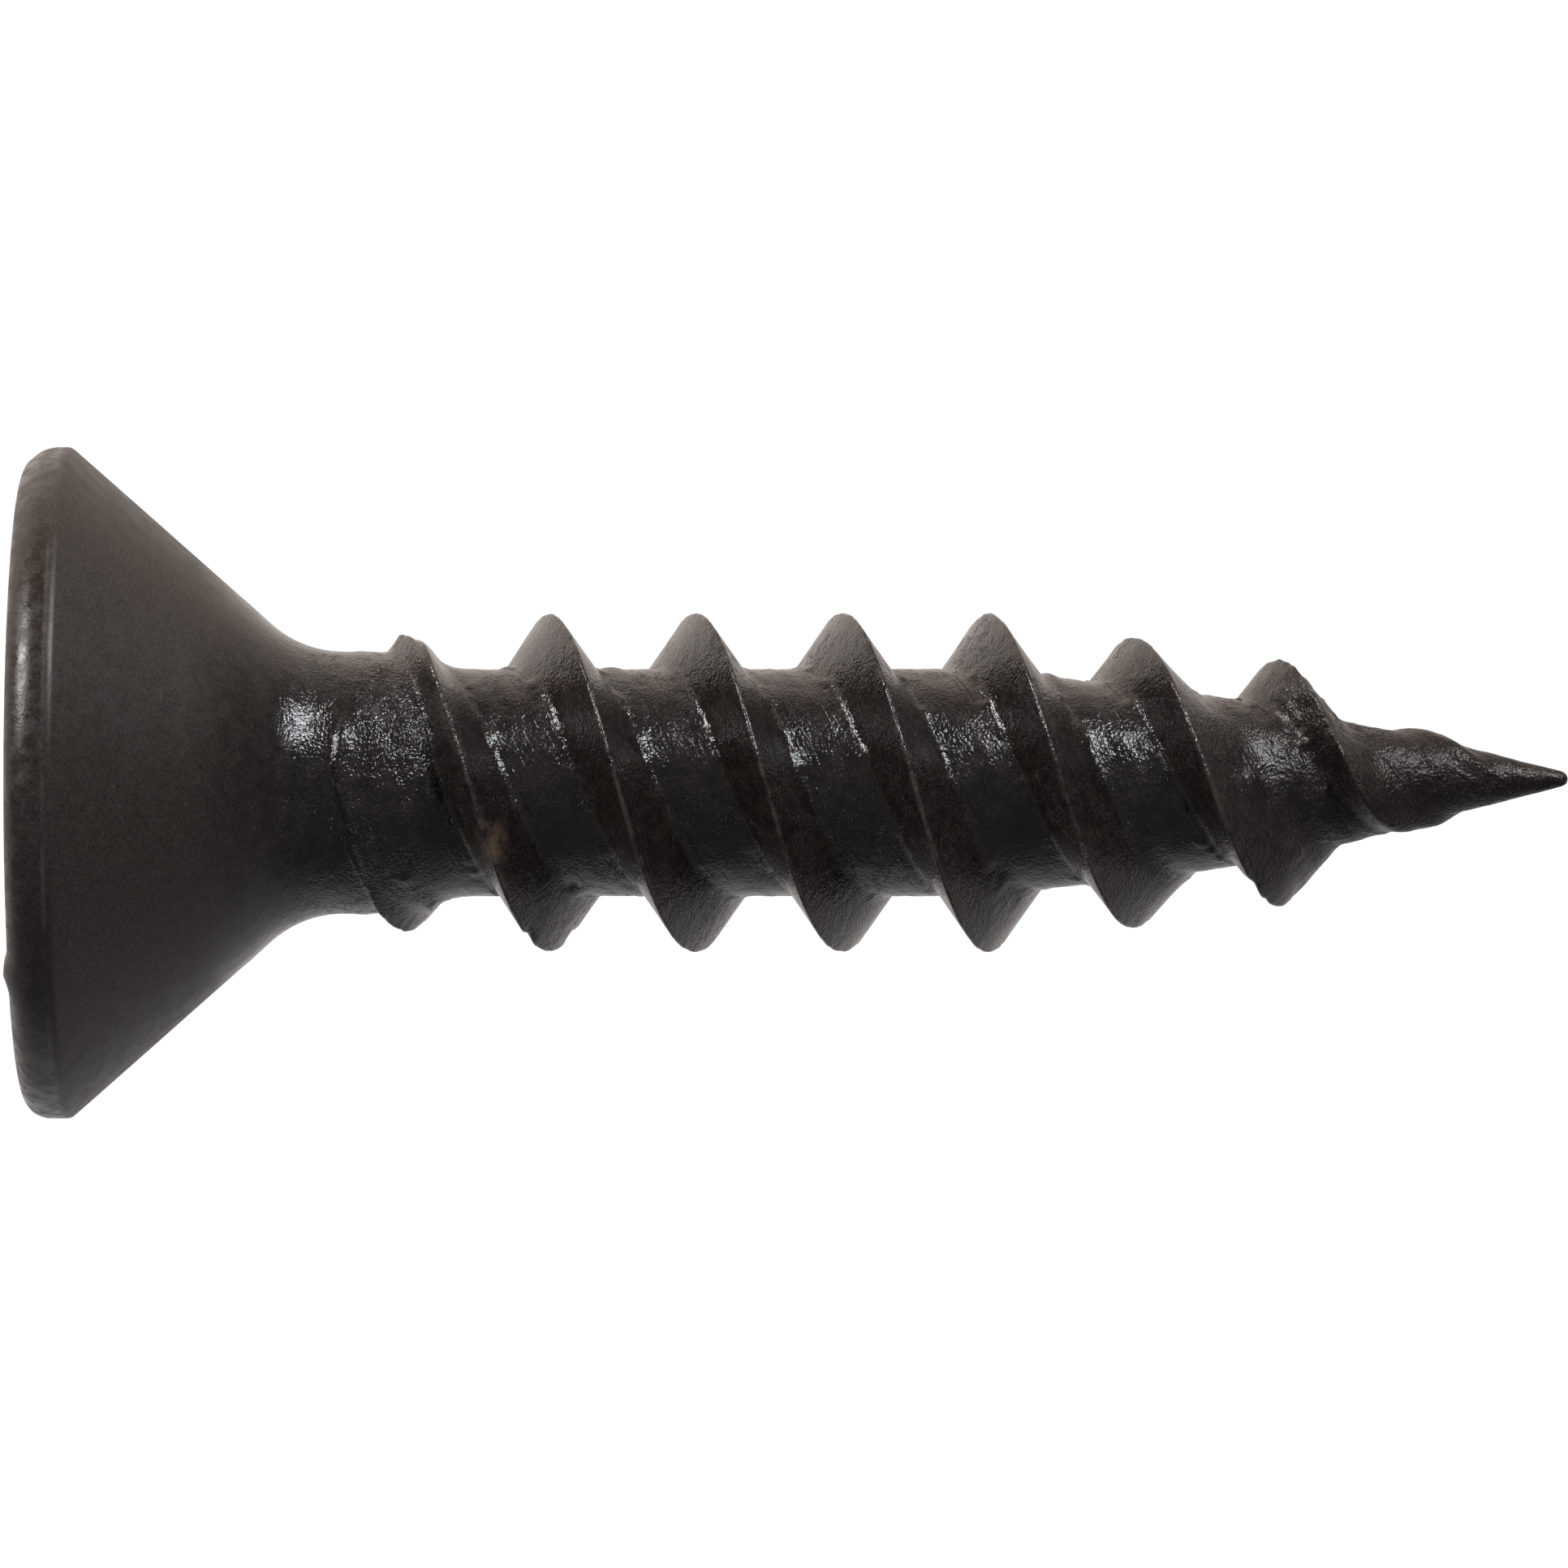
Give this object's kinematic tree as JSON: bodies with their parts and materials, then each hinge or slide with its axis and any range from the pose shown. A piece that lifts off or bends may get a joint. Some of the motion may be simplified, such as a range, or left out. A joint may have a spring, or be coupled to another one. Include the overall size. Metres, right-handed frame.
{
  "type": "wood screw",
  "caption": "Black countersunk wood screw with a plain conical head, short neck, steep coarse right-hand thread and a gimlet point; it fastens timber and sheet goods.",
  "frame": {"origin": "centre of the head's flat top face", "axes": "the screw's axis is Z with +Z pointing out of the head; the point lies on -Z; the first thread start's crest faces +X at z = -6.47 mm"},
  "size_m": [0.0082, 0.0082, 0.0191],
  "materials": {
    "coated_steel": "satin"
  },
  "bodies": {
    "root": {"screw": "coated_steel"}
  },
  "joints": []
}
